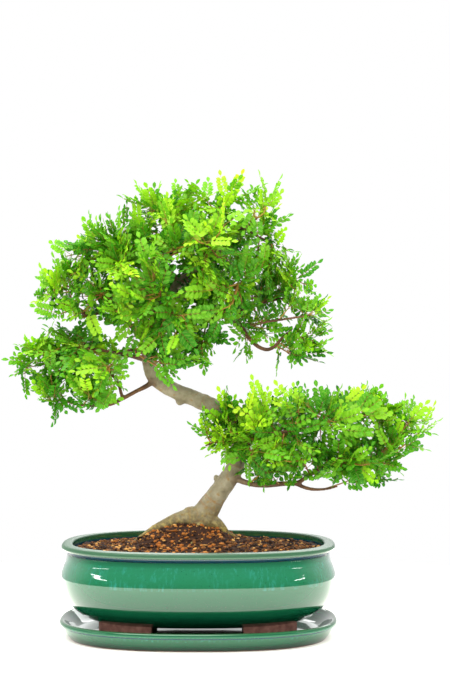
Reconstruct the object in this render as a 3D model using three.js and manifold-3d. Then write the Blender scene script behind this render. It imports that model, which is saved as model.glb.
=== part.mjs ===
// Bonsai pepper tree in a glazed oval pot on its drip tray.
// Millimetres, +Z up, origin at the centre of the tray's underside, +X to the tree's low right
// pad, -Y to the side the tree is looked at from.
import * as THREE from "three";
import { mergeVertices } from "three/addons/utils/BufferGeometryUtils.js";
import Module from "manifold-3d";

const wasm = await Module();
wasm.setup();

// ---- Driving dimensions ---------------------------------------------------------------------

const clearance = 0.3; // gap kept between two pieces that touch

// Oval pot
const potWidth = 300; // across the belly
const ovalRatio = 0.77; // depth of the belly over its width
const ovalSquareness = 2.5; // 2 is an ellipse, more is fuller at the corners
const potHeight = 84; // underside of the shell to the mouth's edge
const potWall = 7;
const potFloor = 8;
const bellyHeight = 47.5; // underside of the shell to the widest ring
const baseInset = 44; // how far the flat underside lies inside the belly
const lipInset = 1.3; // how far the lip lies inside the belly
const lipFace = 4.9; // height of the lip's upright face
const lipRise = 1.4; // top of that face to the mouth's edge
const lipShelf = 11.7; // width of the lip's top, from its face to the mouth
const grooveHeight = 4.2; // recessed band under the lip
const grooveDepth = 7.5;
const footHeight = 12.7;
const footLength = 58; // along the pot's long side
const footEndGap = 52; // between the front and the back foot at each end of the pot
const footSpacing = 154; // between the middles of two feet, along the long side
const footRingWidth = 234; // across the feet's outer faces
const footThickness = 19;
const footTaper = 3;
const drainRadius = 9;
const drainSpacing = 124;

// Drip tray that the pot stands in
const trayOverhang = 1.5; // lip beyond the pot's belly, each side
const trayHeight = 20.5;
const trayFloor = 5.5;
const trayWall = 6;
const trayLip = 5.6; // height of the lip's face
const trayFlare = 11; // lip beyond the flat base

// Drain screens and the wire clips that hold them
const screenSize = 34;
const screenThickness = 1.2;
const screenPitch = 7;
const screenOpening = 4.6;
const wireRadius = 0.75;
const clipSpread = 17; // how far each leg reaches out under the pot's floor

// Soil
const soilBelowMouth = 8;
const moundHeight = 21; // at the trunk, over the soil at the wall
const moundRadius = 66;
const soilRoughness = 1.3;

// Tree
const treeHeight = 412; // soil line to the top leaf
const trunkGirth = 1; // thickness of all the wood, 1 as drawn
const leafLength = 37; // one leaf with its leaflets
const leafWidth = 17;
const leafThickness = 1.5;
const shootRadius = 1.1;
const leafSpacing = 11; // along a shoot

const ovalSides = 40;

// ---- Levels that follow from them -----------------------------------------------------------

const potBase = trayFloor + clearance;
const shellBottom = potBase + footHeight;
const potInside = shellBottom + potFloor;
const mouthTop = shellBottom + potHeight;
const soilLine = mouthTop - soilBelowMouth;
const bellyRadius = potWidth / 2;
const drawnHeight = 412; // the height at which the tree's points below are given

// ---- Solids ---------------------------------------------------------------------------------

/** A manifold solid from a closed three.js geometry. */
function solid(geometry) {
  const bare = geometry.clone();
  bare.deleteAttribute("normal");
  bare.deleteAttribute("uv");
  const merged = mergeVertices(bare, 1e-4);
  const index = merged.index.array;
  const triangles = [];
  for (let i = 0; i < index.length; i += 3) {
    const [a, b, c] = [index[i], index[i + 1], index[i + 2]];
    if (a !== b && b !== c && c !== a) triangles.push(a, b, c);
  }
  return new wasm.Manifold(new wasm.Mesh({
    numProp: 3,
    vertProperties: new Float32Array(merged.attributes.position.array),
    triVerts: new Uint32Array(triangles),
  }));
}

/** A three.js geometry with flat faces from a manifold solid. */
function geometryOf(body) {
  const mesh = body.getMesh();
  const geometry = new THREE.BufferGeometry();
  geometry.setAttribute("position", new THREE.BufferAttribute(new Float32Array(mesh.vertProperties), 3));
  geometry.setIndex(new THREE.BufferAttribute(new Uint32Array(mesh.triVerts), 1));
  const flat = geometry.toNonIndexed();
  flat.computeVertexNormals();
  return flat;
}

function joined(bodies) {
  return bodies.reduce((sum, body) => sum.add(body));
}

/** The largest single body left after a cut. */
function largest(body) {
  return body.decompose().reduce((best, piece) => (piece.volume() > best.volume() ? piece : best));
}

/** Half-depth of the oval ring with this half-width: walls keep their thickness all round. */
function depthOf(halfWidth) {
  const waist = bellyRadius * (1 - ovalRatio);
  const inner = 0.6 * bellyRadius;
  return halfWidth > inner ? halfWidth - waist : (halfWidth * (inner - waist)) / inner;
}

/** An oval turning: half-widths and heights, spun and drawn to a full-cornered oval. */
function ovalTurning(profile, shape = (point) => point) {
  const geometry = new THREE.LatheGeometry(profile.map(([r, z]) => new THREE.Vector2(r, z)), ovalSides);
  geometry.rotateX(Math.PI / 2);
  const position = geometry.attributes.position;
  const point = new THREE.Vector3();
  const full = (share) => Math.sign(share) * Math.abs(share) ** (2 / ovalSquareness);
  for (let i = 0; i < position.count; i += 1) {
    point.fromBufferAttribute(position, i);
    const halfWidth = Math.hypot(point.x, point.y);
    if (halfWidth > 1e-6) {
      point.set(halfWidth * full(point.x / halfWidth), depthOf(halfWidth) * full(point.y / halfWidth), point.z);
    }
    shape(point);
    position.setXYZ(i, point.x, point.y, point.z);
  }
  return solid(geometry);
}

function block(width, depth, height, x, y, z) {
  return solid(new THREE.BoxGeometry(width, depth, height).translate(x, y, z));
}

function uprightCylinder(radius, low, high, x, y) {
  const geometry = new THREE.CylinderGeometry(radius, radius, high - low, 24);
  return solid(geometry.rotateX(Math.PI / 2).translate(x, y, (low + high) / 2));
}

/**
 * A tapering limb: a closed cylinder bent along a smooth curve through its stations
 * [x, y, z, radius], with its radius drawn between them, and grow larger all round.
 */
function limb(stations, { sides = 6, stepsPerSpan = 1, grow = 0 } = {}) {
  const points = stations.map(([x, y, z]) => new THREE.Vector3(x, y, z));
  const curve = new THREE.CatmullRomCurve3(points, false, "centripetal");
  const spans = stations.length - 1;
  const steps = spans * stepsPerSpan;
  const rings = [];
  const normal = new THREE.Vector3(0.31, -0.9, 0.29);
  for (let i = 0; i <= steps; i += 1) {
    const tangent = curve.getTangent(i / steps);
    normal.addScaledVector(tangent, -normal.dot(tangent)).normalize();
    const span = Math.min(Math.floor(i / stepsPerSpan), spans - 1);
    const share = i / stepsPerSpan - span;
    const radius = THREE.MathUtils.lerp(stations[span][3], stations[span + 1][3], share) + grow;
    const side = new THREE.Vector3().crossVectors(normal, tangent);
    const centre = curve.getPoint(i / steps);
    if (i === 0) centre.addScaledVector(tangent, -grow);
    if (i === steps) centre.addScaledVector(tangent, grow);
    rings.push({ centre, normal: normal.clone(), side, radius });
  }
  const geometry = new THREE.CylinderGeometry(1, 1, 1, sides, steps);
  const position = geometry.attributes.position;
  const point = new THREE.Vector3();
  for (let i = 0; i < position.count; i += 1) {
    const ring = rings[Math.round((position.getY(i) + 0.5) * steps)];
    point.copy(ring.centre)
      .addScaledVector(ring.normal, position.getX(i) * ring.radius)
      .addScaledVector(ring.side, position.getZ(i) * ring.radius);
    position.setXYZ(i, point.x, point.y, point.z);
  }
  return solid(geometry);
}

// ---- Pot, tray and what lies in the pot -----------------------------------------------------

function makeTray() {
  const lip = bellyRadius + trayOverhang;
  const base = lip - trayFlare;
  const inside = lip - trayWall;
  const lipBottom = trayHeight - trayLip;
  return ovalTurning([
    [0, 0], [base - 1.5, 0], [base, 1.2], [lip - 2.6, lipBottom - 1], [lip - 2.6, lipBottom],
    [lip - 0.4, lipBottom + 0.8], [lip, lipBottom + 2.8], [lip - 1, trayHeight - 0.8],
    [lip - 3, trayHeight], [inside, trayHeight - 1], [base - trayWall, trayFloor + 2.2],
    [base - trayWall - 5, trayFloor], [0, trayFloor],
  ]);
}

/** Half-width of the pot's outer wall, from its rounded underside up to the band under the lip. */
const wallOutside = [
  [bellyRadius - baseInset, shellBottom],
  [bellyRadius - 34, shellBottom + 2.2],
  [bellyRadius - 22, shellBottom + 8.5],
  [bellyRadius - 11, shellBottom + 18],
  [bellyRadius - 3.6, shellBottom + 31],
  [bellyRadius, shellBottom + bellyHeight],
  [bellyRadius - 2.6, shellBottom + bellyHeight + 11],
  [bellyRadius - 5.8, shellBottom + bellyHeight + 18.5],
];

function makePot() {
  const lip = bellyRadius - lipInset;
  const lipTop = mouthTop - lipRise;
  const lipBottom = lipTop - lipFace;
  const mouth = lip - lipShelf;
  const neck = lip - grooveDepth;
  const grooveBottom = lipBottom - grooveHeight;
  const inside = wallOutside.slice(1).reverse().map(([r, z]) => [Math.min(r - potWall, mouth), z + 1.5]);
  const shell = ovalTurning([
    [0, shellBottom], ...wallOutside,
    [neck + 1.6, grooveBottom - 0.8], [neck + 1.2, grooveBottom], [neck, grooveBottom + 0.6],
    [neck, lipBottom - 0.4], [lip - 1, lipBottom], [lip, lipBottom + 1], [lip, lipTop - 1.2],
    [lip - 1.4, lipTop], [lip - 6, mouthTop - 0.4], [mouth + 1.5, mouthTop], [mouth, mouthTop - 1.2],
    ...inside.slice(0, -1), [bellyRadius - baseInset, potInside], [0, potInside],
  ]);
  const foot = footRingWidth / 2;
  const footTop = shellBottom + potFloor * 0.6;
  const ring = ovalTurning([
    [foot - footThickness + footTaper, potBase], [foot - footTaper, potBase], [foot, footTop],
    [foot - footThickness, footTop], [foot - footThickness + footTaper, potBase],
  ]);
  const reach = potWidth * ovalRatio;
  const feet = [];
  for (const side of [-1, 1]) {
    for (const front of [-1, 1]) {
      feet.push(ring.intersect(block(footLength, reach, footHeight * 3,
        side * footSpacing / 2, front * (footEndGap + reach) / 2, potBase + footHeight)));
    }
  }
  const drains = [-1, 1].map((side) => uprightCylinder(
    drainRadius, shellBottom - 2, potInside + 2, side * drainSpacing / 2, 0,
  ));
  return joined([shell, ...feet]).subtract(joined(drains));
}

/** Square mesh on the pot's floor over one drain hole. */
function makeScreen(side) {
  const x = side * drainSpacing / 2;
  const z = potInside + clearance + screenThickness / 2;
  const plate = block(screenSize, screenSize, screenThickness, x, 0, z);
  const openings = [];
  for (const column of [-1.5, -0.5, 0.5, 1.5]) {
    for (const row of [-1.5, -0.5, 0.5, 1.5]) {
      openings.push(block(screenOpening, screenOpening, screenThickness * 3,
        x + column * screenPitch, row * screenPitch, z));
    }
  }
  return plate.subtract(joined(openings));
}

/** Bent wire: over the screen, down through two of its openings and out under the pot. */
function makeClip(side) {
  const x = side * drainSpacing / 2;
  const leg = screenPitch / 2;
  const over = potInside + 2 * clearance + screenThickness + wireRadius;
  const under = shellBottom - clearance - wireRadius;
  const bend = 1.4;
  const half = [
    [leg - bend, over], [leg, over - bend], [leg, under + bend], [leg + bend, under], [clipSpread, under],
  ];
  const row = screenPitch / 2;
  const route = [...half.slice().reverse().map(([w, z]) => [x - w, row, z]),
    ...half.map(([w, z]) => [x + w, row, z])];
  return limb(route.map((point) => [...point, wireRadius]), { sides: 6 });
}

/** Height of the soil over its line at the wall, at a place in the pot. */
function soilHeight(x, y) {
  const away = Math.hypot(x, y / ovalRatio) / moundRadius;
  const lumps = Math.sin(x * 0.13 + 1.2) * Math.cos(y * 0.17) + 0.6 * Math.sin(x * 0.29 - y * 0.23);
  return moundHeight * Math.exp(-away * away) + soilRoughness * lumps;
}

function makeSoil(wood) {
  const bottom = potInside + clearance;
  const mouth = bellyRadius - lipInset - lipShelf;
  const wall = wallOutside.slice(2).map(([r, z]) => [Math.min(r - potWall, mouth) - clearance, z + 1.5 + clearance]);
  const top = [0.92, 0.68, 0.46, 0.24, 0].map((share) => [mouth * share, soilLine]);
  const bed = ovalTurning([
    [0, bottom], [bellyRadius - baseInset, bottom], ...wall, [mouth - clearance, soilLine - 2], ...top,
  ], (point) => {
    if (point.z > soilLine - 1) point.z += soilHeight(point.x, point.y);
  });
  const pocketHeight = screenThickness + 2 * wireRadius + 4 * clearance;
  const pockets = [-1, 1].map((side) => block(screenSize + 2 * clearance, screenSize + 2 * clearance,
    pocketHeight, side * drainSpacing / 2, 0, potInside + pocketHeight / 2));
  return bed.subtract(joined(pockets)).subtract(wood);
}

// ---- The tree's wood ------------------------------------------------------------------------
// Stations are [x, y, height over the soil line, radius], from the thick end to the thin one.

const trunk = [
  [0, 0, -22, 11], [0, 0, 4, 14.5], [2, 0, 28, 15.2], [9, 0, 41, 13.2], [19, -2, 56.5, 11.3],
  [30, -3, 72, 10.5], [39, -5, 87, 10], [44, -6, 105, 9.7], [43, -5, 122, 9.6], [36, -3, 140, 9.5],
  [22, 0, 151.7, 9.3], [5, 2, 159.4, 8.9], [-11.5, 3, 166, 8.9], [-24.6, 3, 171.4, 8.9],
  [-39, 2, 179, 8.5], [-49, 1, 188, 8], [-54, 0, 201, 7.5], [-54, -1, 218.5, 7], [-49, -1, 238, 6.5],
  [-42, 0, 258, 6.2], [-33, 2, 280, 6], [-18, 4, 293, 5.5], [2, 5, 306, 5], [18, 4, 319, 4.4],
  [24.6, 2, 337, 3.8], [25.7, 0, 356.5, 2.8], [24.6, -2, 375, 1.6],
];

const roots = [
  [[2, 0, 33, 11], [-18, -4, 33, 8.5], [-40, -7, 24, 6.5], [-58, -9, 14, 4.6], [-76, -10, 1, 3.2],
    [-90, -10, -9, 1.8]],
  [[0, 4, 29, 9], [-25, 22, 19, 6], [-48, 38, 5, 4], [-62, 46, -6, 2.4]],
  [[4, -4, 27, 9], [0, -24, 17, 6.2], [-8, -44, 5, 4], [-12, -58, -5, 2.4]],
  [[8, 0, 33, 9], [21, -4, 26, 6.5], [31, -6, 15, 4.6], [44, -8, 0, 2.8]],
  [[6, 6, 27, 9], [16, 28, 15, 5.5], [24, 48, 1, 3.4], [30, 60, -8, 2]],
  [[14, -5, 24, 4], [26, -7, 19, 2.7], [37, -9, 14.5, 2.5], [48, -11, 7.5, 2.4], [59, -12, -3, 2]],
];

const branches = {
  lowRight: [[34, -4, 82, 5.2], [41, -6, 77, 3.6], [55, -9, 71.6, 3.1], [72.7, -12, 70, 3], [92, -14, 71.6, 2.8],
    [106.5, -15, 72.5, 2.6], [121, -20, 82, 2.2], [147, -24, 95, 1.9], [174, -25, 97.5, 1.6],
    [196, -22, 104, 1.4], [213, -18, 104, 1.1]],
  lowRightFork: [[104, -15, 72.4, 2.3], [121, -13, 66, 2.1], [137, -10, 65.4, 1.7], [152, -6, 68, 1.2]],
  rightBack: [[44, -4, 111, 5], [58, 14, 119, 3.2], [82, 32, 127, 2.6], [115, 42, 133, 2.2],
    [150, 40, 137, 1.7], [182, 30, 141, 1.2]],
  rightFront: [[44, -8, 106, 5], [52, -28, 117, 3], [70, -44, 125, 2.5], [98, -50, 131, 2], [128, -46, 135, 1.3]],
  nearTrunk: [[43, -8, 115, 4], [34, -28, 119, 2.4], [20, -40, 119, 1.9], [8, -46, 115, 1.2]],
  lowLeft: [[-46, 1, 186, 4], [-56, -3, 178, 2.8], [-67.6, -8, 172, 2.4], [-82.6, -13, 164, 2.3],
    [-95.3, -16, 158, 2.1], [-104.5, -17, 157, 2], [-125, -16, 157, 1.8], [-146, -12, 161.4, 1.4],
    [-157.5, -10, 163, 1.1]],
  lowLeftUpper: [[-82, -13, 164, 1.9], [-92, -4, 187, 1.8], [-118, 6, 199, 1.6], [-150, 12, 205, 1.4],
    [-178, 14, 201, 1.1]],
  leftMiddle: [[-54, -1, 206, 4], [-75, -20, 211, 2.4], [-100, -30, 216, 1.9], [-128, -28, 221, 1.2]],
  highLeft: [[-52, -1, 227, 4.4], [-70, -10, 241, 3.2], [-99.5, -18, 261, 2.6], [-120, -20, 254, 2.4],
    [-129, -18, 261, 2.2], [-140, -14, 264, 2], [-154.5, -8, 272, 1.7], [-168, -2, 284, 1.2]],
  crownRight: [[-30, 2, 280, 4.6], [-10, -4, 273, 3.7], [11.5, -8, 266.7, 3.5], [24.4, -10, 256, 3.3],
    [42, -12, 246, 3], [50.6, -13, 236, 2.7], [59, -13, 226, 2.5], [69.5, -12, 218.5, 2.3],
    [78, -11, 218, 2.1], [92.5, -5, 231, 1.7], [102, 0, 239, 1.3]],
  crownRightStem: [[23.5, -10, 256.5, 2.2], [24.6, -14, 269.5, 1.9], [29, -18, 290.5, 1.2]],
  crownRightUpper: [[42, -12, 246, 2.2], [47.4, -4, 259.5, 2], [60, 6, 265, 1.8], [80, 14, 271, 1.6],
    [105, 16, 276, 1.1]],
  crownRightFront: [[42, -12, 246, 2.2], [55, -16, 243.7, 1.9], [71.6, -20, 247, 1.7], [98, -22, 251, 1.4],
    [122, -20, 255, 1.1]],
  crownLeft: [[-20, 4, 292, 4], [-40, -4, 307, 2.8], [-70, -12, 319, 2.3], [-100, -16, 325, 1.8],
    [-122, -14, 329, 1.2]],
  crownFront: [[-52, -2, 229, 4], [-50, -28, 247, 2.8], [-45, -55, 263, 2.1], [-38, -78, 275, 1.3]],
  crownFrontLow: [[-54, -2, 211, 4], [-62, -30, 215, 2.4], [-70, -55, 217, 1.9], [-74, -74, 217, 1.2]],
  crownBack: [[-46, 2, 248, 4], [-48, 30, 265, 2.8], [-46, 60, 279, 2.1], [-40, 85, 289, 1.3]],
  crownBackLow: [[-54, 2, 214, 4], [-66, 30, 223, 2.4], [-82, 58, 231, 1.3]],
  highFront: [[1, 5, 306, 3.6], [4, -22, 317, 2.3], [8, -48, 325, 1.8], [14, -68, 329, 1.2]],
  highBack: [[17, 4, 318, 3.4], [24, 30, 329, 2.1], [32, 56, 335, 1.3]],
  topRight: [[24.5, 2, 336, 2.8], [40.6, -3, 348, 2], [51.6, -5, 351, 1.8], [66.7, -8, 363, 1.2]],
  topRightFork: [[50, -5, 350.5, 1.6], [66.7, -2, 340, 1.5], [84, 2, 335, 1.1]],
  topLeft: [[2, 5, 306, 3.2], [-14, 2, 321, 2.2], [-28, 0, 340, 1.8], [-34, -2, 362, 1.2]],
};

const treeScale = treeHeight / drawnHeight;

function placed([x, y, height]) {
  return [x * treeScale, y * treeScale, soilLine + height * treeScale];
}

/** Trunk, roots and branches as one grown piece, thicker all round by grow. */
function makeWood(grow = 0) {
  const grown = (stations, options) => limb(
    stations.map((station) => [...placed(station), station[3] * trunkGirth]), { ...options, grow },
  );
  return joined([
    grown(trunk, { sides: 12 }),
    ...roots.map((root) => grown(root, { sides: 7 })),
    ...Object.values(branches).map((branch) => grown(branch, { sides: 5 })),
  ]);
}

// ---- The tree's green shoots ----------------------------------------------------------------
// Each is [base on a branch, tip], as [x, y, height over the soil line].

const shoots = {
  crown_spray: [
    [[-150, -10, 270], [-166, 2, 281]], [[-129, -18, 261], [-150, -26, 256]], [[-140, -14, 264], [-140, -8, 298]],
    [[-106, -16, 326], [-114, -6, 338]], [[-88, -15, 322], [-80, -8, 350]], [[-33, -2, 356], [-54, -4, 374]],
    [[-32, -2, 354], [-24, 6, 378]], [[25, -1, 362], [6, 2, 384]], [[25, -2, 370], [38, 4, 386]],
    [[64, -8, 361], [74, -6, 374]], [[78, 1, 337], [82, -8, 325]], [[80, 14, 271], [98, 8, 298]],
    [[112, -21, 253], [124, -12, 257]], [[98, -2, 235], [126, -4, 227]], [[84, -9, 222], [102, -16, 211]],
    [[12, -8, 266], [6, -34, 230]], [[-70, -55, 217], [-34, -72, 200]],
    [[-45, -55, 263], [-16, -86, 254]], [[-38, -76, 274], [-46, -94, 296]], [[-50, -28, 247], [-86, -64, 258]],
    [[4, -22, 317], [-28, -60, 326]], [[14, -66, 329], [28, -84, 348]], [[29, -18, 288], [46, -50, 288]],
    [[-70, -12, 319], [-84, -52, 308]], [[-99, -18, 261], [-104, -52, 284]],
    [[-46, 60, 279], [-16, 86, 276]], [[-48, 30, 265], [-92, 56, 278]], [[24, 30, 329], [-14, 58, 344]],
    [[60, 6, 265], [58, 46, 280]],
  ],
  left_spray: [
    [[-150, 12, 205], [-188, 6, 198]], [[-140, 10, 203], [-172, -2, 214]], [[-100, -30, 216], [-142, -12, 226]],
    [[-143, -13, 161], [-158, -12, 174]], [[-104, -17, 157], [-116, -40, 168]], [[-96, -2, 189], [-108, 34, 196]],
    [[-75, -20, 211], [-98, -60, 198]],
  ],
  right_spray: [
    [[14, -44, 117], [8, -36, 132]], [[42, -6, 122], [34, -26, 150]], [[70, -44, 125], [70, -36, 156]],
    [[98, -50, 131], [108, -44, 154]], [[126, -46, 135], [140, -34, 150]], [[150, 40, 137], [166, 34, 156]],
    [[180, 30, 141], [204, 18, 148]], [[196, -22, 104], [228, -14, 138]], [[211, -18, 104], [242, -8, 128]],
    [[174, -25, 97.5], [202, -40, 96]], [[148, -24, 95], [164, -50, 100]], [[137, -10, 65.4], [174, -4, 78]],
    [[84, 33, 127], [68, 60, 140]], [[56, -10, 72], [70, -32, 98]], [[54, -30, 118], [64, -68, 110]],
    [[121, -20, 82], [112, -50, 104]],
  ],
};

/** One leaf as a thin six-sided lens: base just behind the origin, blade along +X, face to +Z. */
function leafGeometry(grow = 0) {
  const halfLength = leafLength / 2 + grow;
  const halfWidth = leafWidth / 2 + grow;
  return new THREE.SphereGeometry(1, 6, 2)
    .rotateX(Math.PI / 2)
    .scale(halfLength, halfWidth / Math.sin(Math.PI / 3), leafThickness / 2 + grow)
    .translate(leafLength / 2 - shootRadius / 2, 0, 0);
}

/** Places, directions and faces of a shoot's leaves: alternate, closing up to one at the tip. */
function leafFrames(base, tip, turn) {
  const run = tip.clone().sub(base);
  const along = run.clone().normalize();
  const up = new THREE.Vector3(0, 0, 1);
  const across = new THREE.Vector3().crossVectors(along, up).normalize();
  const over = new THREE.Vector3().crossVectors(across, along);
  const count = Math.max(4, Math.round(run.length() / leafSpacing) + 1);
  return Array.from({ length: count }, (_, i) => {
    const share = (i + 0.8) / (count - 0.2);
    const spin = turn + i * 2.4;
    const direction = along.clone().multiplyScalar(0.35 + 0.9 * share * share)
      .addScaledVector(across, Math.cos(spin))
      .addScaledVector(over, 0.75 * Math.sin(spin))
      .normalize();
    const face = up.clone().addScaledVector(along, -0.5 * Math.cos(spin * 1.7))
      .addScaledVector(new THREE.Vector3(0, -1, 0), 0.9);
    face.addScaledVector(direction, -face.dot(direction)).normalize();
    const place = base.clone().addScaledVector(run, Math.min(share, 0.97));
    const side = new THREE.Vector3().crossVectors(face, direction);
    return new THREE.Matrix4().makeBasis(direction, side, face).setPosition(place);
  });
}

function boxOf(body) {
  const { min, max } = body.boundingBox();
  return new THREE.Box3(new THREE.Vector3(...min), new THREE.Vector3(...max));
}

function touches(body, others) {
  const box = boxOf(body);
  return others.some((other) => box.intersectsBox(other.box) && body.intersect(other.body).volume() > 1e-6);
}

/**
 * Every shoot with its leaves. Twigs are trimmed clear of the wood and of each other first, and a
 * leaf grows only where it stays clear of the wood and of every other shoot.
 */
function makeShoots(woodClear) {
  const sprays = [];
  for (const [group, list] of Object.entries(shoots)) {
    list.forEach(([from, to], i) => {
      const base = new THREE.Vector3(...placed(from));
      const tip = new THREE.Vector3(...placed(to));
      const stations = [[...base, shootRadius], [...base.clone().lerp(tip, 0.5), shootRadius],
        [...tip, shootRadius * 0.7]];
      const twig = (grow) => limb(stations, { sides: 4, grow });
      let body = twig(0).subtract(woodClear);
      for (const other of sprays) {
        if (boxOf(body).intersectsBox(boxOf(other.clear))) body = body.subtract(other.clear);
      }
      sprays.push({ name: `${group}_${String(i + 1).padStart(2, "0")}`, base, tip, turn: i * 1.3,
        body: largest(body), clear: twig(clearance) });
    });
  }
  const wood = { body: woodClear, box: boxOf(woodClear) };
  for (const spray of sprays) {
    const taken = sprays.filter((other) => other !== spray)
      .map((other) => ({ body: other.body, box: boxOf(other.body) }));
    taken.push(wood);
    for (const frame of leafFrames(spray.base, spray.tip, spray.turn)) {
      const clear = solid(leafGeometry(clearance).applyMatrix4(frame));
      const blade = solid(leafGeometry().applyMatrix4(frame));
      if (touches(clear, taken)) continue;
      const grown = spray.body.add(blade);
      if (grown.decompose().length > 1) continue;
      spray.body = grown;
      taken.push({ body: blade, box: boxOf(blade) });
    }
  }
  return sprays;
}

// ---- The object -----------------------------------------------------------------------------

const finishes = {
  glaze: { color: 0x14603f, roughness: 0.16, metalness: 0 },
  bark: { color: 0xa8977a, roughness: 0.85, metalness: 0 },
  leaf: { color: 0x4fa012, roughness: 0.5, metalness: 0 },
  soil: { color: 0x5a361c, roughness: 1, metalness: 0 },
  screenPlastic: { color: 0x1d1f1e, roughness: 0.6, metalness: 0 },
  wire: { color: 0xb9bcbd, roughness: 0.35, metalness: 1 },
};

const bonsai = new THREE.Group();

function addPiece(name, body, finish) {
  const material = new THREE.MeshStandardMaterial({ ...finishes[finish], name: finish, flatShading: true });
  const mesh = new THREE.Mesh(geometryOf(body), material);
  mesh.name = name;
  bonsai.add(mesh);
}

const woodClear = makeWood(clearance);

addPiece("drip_tray", makeTray(), "glaze");
addPiece("pot", makePot(), "glaze");
for (const [hand, side] of [["left", -1], ["right", 1]]) {
  addPiece(`drain_screen_${hand}`, makeScreen(side), "screenPlastic");
  addPiece(`screen_clip_${hand}`, makeClip(side), "wire");
}
addPiece("soil", makeSoil(woodClear), "soil");
addPiece("trunk_and_branches", makeWood(), "bark");
for (const spray of makeShoots(woodClear)) addPiece(spray.name, spray.body, "leaf");

export default bonsai;
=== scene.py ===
# Bonsai pepper tree in a green glazed oval pot on its drip tray.
import math
import random

import bmesh
import bpy
from mathutils import Matrix, Vector, kdtree, noise
from mathutils.geometry import interpolate_bezier


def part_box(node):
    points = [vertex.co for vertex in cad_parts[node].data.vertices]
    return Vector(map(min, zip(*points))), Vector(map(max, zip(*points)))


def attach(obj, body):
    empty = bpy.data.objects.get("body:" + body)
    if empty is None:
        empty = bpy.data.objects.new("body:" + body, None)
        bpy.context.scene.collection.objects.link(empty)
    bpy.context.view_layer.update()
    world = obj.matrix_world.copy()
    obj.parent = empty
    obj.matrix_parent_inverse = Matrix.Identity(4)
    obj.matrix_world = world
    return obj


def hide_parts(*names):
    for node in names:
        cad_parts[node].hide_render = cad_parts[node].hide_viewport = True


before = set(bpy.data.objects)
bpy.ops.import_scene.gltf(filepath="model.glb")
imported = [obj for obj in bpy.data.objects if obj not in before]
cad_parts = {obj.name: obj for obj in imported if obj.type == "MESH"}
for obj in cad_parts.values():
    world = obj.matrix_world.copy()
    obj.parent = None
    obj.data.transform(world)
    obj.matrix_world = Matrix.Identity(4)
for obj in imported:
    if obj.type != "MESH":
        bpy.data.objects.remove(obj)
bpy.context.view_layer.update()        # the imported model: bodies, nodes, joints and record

mm = 0.001
upward = Vector((0, 0, 1))

trayLow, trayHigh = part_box("drip_tray")
potLow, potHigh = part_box("pot")
soilLow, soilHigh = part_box("soil")
ovalWaist = potHigh[0] - potHigh[1]     # every oval ring is this much shallower, half, than it is wide
ovalSquareness = 2.5                    # 2 is an ellipse, more is fuller at the corners
soilLine = potHigh[2] - 8 * mm          # soil at the pot's wall


def fromHex(code):
    # sRGB hex to the linear colour that the shaders use
    parts = [int(code[i:i + 2], 16) / 255 for i in (1, 3, 5)]
    return tuple(c / 12.92 if c <= 0.04045 else ((c + 0.055) / 1.055) ** 2.4 for c in parts) + (1,)


def addNode(tree, kind, settings=None, links=None):
    # settings and links go by name or socket number; a link comes from a node's first output or
    # from the output given; a ramp's settings are its stops, as (position, hex colour)
    node = tree.nodes.new("ShaderNode" + kind)
    for key, value in (settings or {}).items():
        if key == "stops":
            elements = node.color_ramp.elements
            while len(elements) < len(value):
                elements.new(0.5)
            for element, (position, code) in zip(elements, value):
                element.position = position
                element.color = fromHex(code)
        elif isinstance(key, int) or key in node.inputs:
            node.inputs[key].default_value = value
        else:
            setattr(node, key, value)
    for key, source in (links or {}).items():
        output = source.outputs[0] if isinstance(source, bpy.types.Node) else source
        tree.links.new(output, node.inputs[key])
    return node


def newMaterial(name, settings):
    material = bpy.data.materials.new(name)
    material.use_nodes = True
    tree = material.node_tree
    tree.nodes.clear()
    surface = addNode(tree, "BsdfPrincipled", settings)
    output = addNode(tree, "OutputMaterial", links={"Surface": surface})
    return material, tree, surface, output


# pattern sizes in mm: streaks where the glaze ran, clouds of thin glaze, iron specks, ripples
glazeGrain = {"streak": 3.2, "cloud": 26, "speck": 1.3, "ripple": 9, "rippleDepth": 0.4}


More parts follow.
